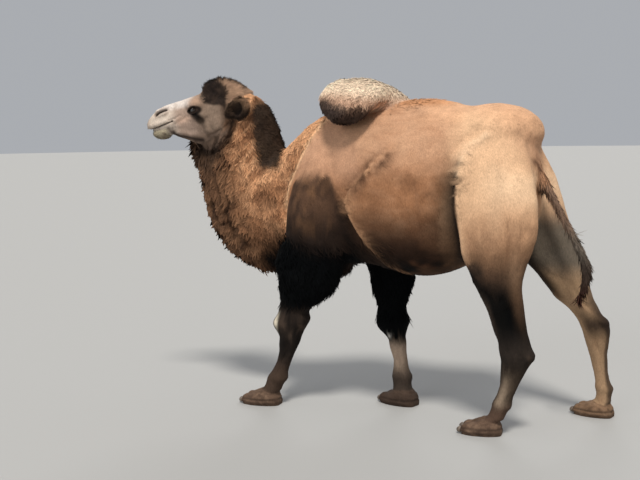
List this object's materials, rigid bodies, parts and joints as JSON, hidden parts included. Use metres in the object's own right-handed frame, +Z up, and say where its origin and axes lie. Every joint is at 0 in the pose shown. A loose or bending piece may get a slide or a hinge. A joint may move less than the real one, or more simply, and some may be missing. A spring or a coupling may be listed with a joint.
{
  "type": "bactrian camel figure",
  "caption": "Life-size standing two-humped camel, still, with its head raised and its legs in a slow walking stance.",
  "frame": {"origin": "on the floor under the middle of the bounding box", "axes": "+Z up; the animal faces -Y; +X is its left side"},
  "size_m": [0.7781, 2.6396, 1.8908],
  "materials": {
    "coat_body": "matte",
    "coat_neck": "matte",
    "coat_head": "matte",
    "coat_ear": "matte",
    "coat_shag": "matte",
    "coat_thigh": "matte",
    "coat_shin": "matte",
    "coat_tail": "matte",
    "foot_skin": "matte",
    "nail": "satin",
    "eye": "gloss"
  },
  "bodies": {
    "root": {"ear_left": "coat_ear", "ear_right": "coat_ear", "eye_left": "eye", "eye_right": "eye", "foot_fore_left": "foot_skin", "foot_fore_right": "foot_skin", "foot_hind_left": "foot_skin", "foot_hind_right": "foot_skin", "head": "coat_head", "hump_front": "coat_body", "hump_rear": "coat_body", "jaw": "coat_head", "leg_fore_left_lower": "coat_shin", "leg_fore_left_upper": "coat_shag", "leg_fore_right_lower": "coat_shin", "leg_fore_right_upper": "coat_shag", "leg_hind_left_lower": "coat_shin", "leg_hind_left_upper": "coat_thigh", "leg_hind_right_lower": "coat_shin", "leg_hind_right_upper": "coat_thigh", "nail_fore_left_inner": "nail", "nail_fore_left_outer": "nail", "nail_fore_right_inner": "nail", "nail_fore_right_outer": "nail", "nail_hind_left_inner": "nail", "nail_hind_left_outer": "nail", "nail_hind_right_inner": "nail", "nail_hind_right_outer": "nail", "neck": "coat_neck", "tail": "coat_tail", "trunk": "coat_body"}
  },
  "joints": []
}
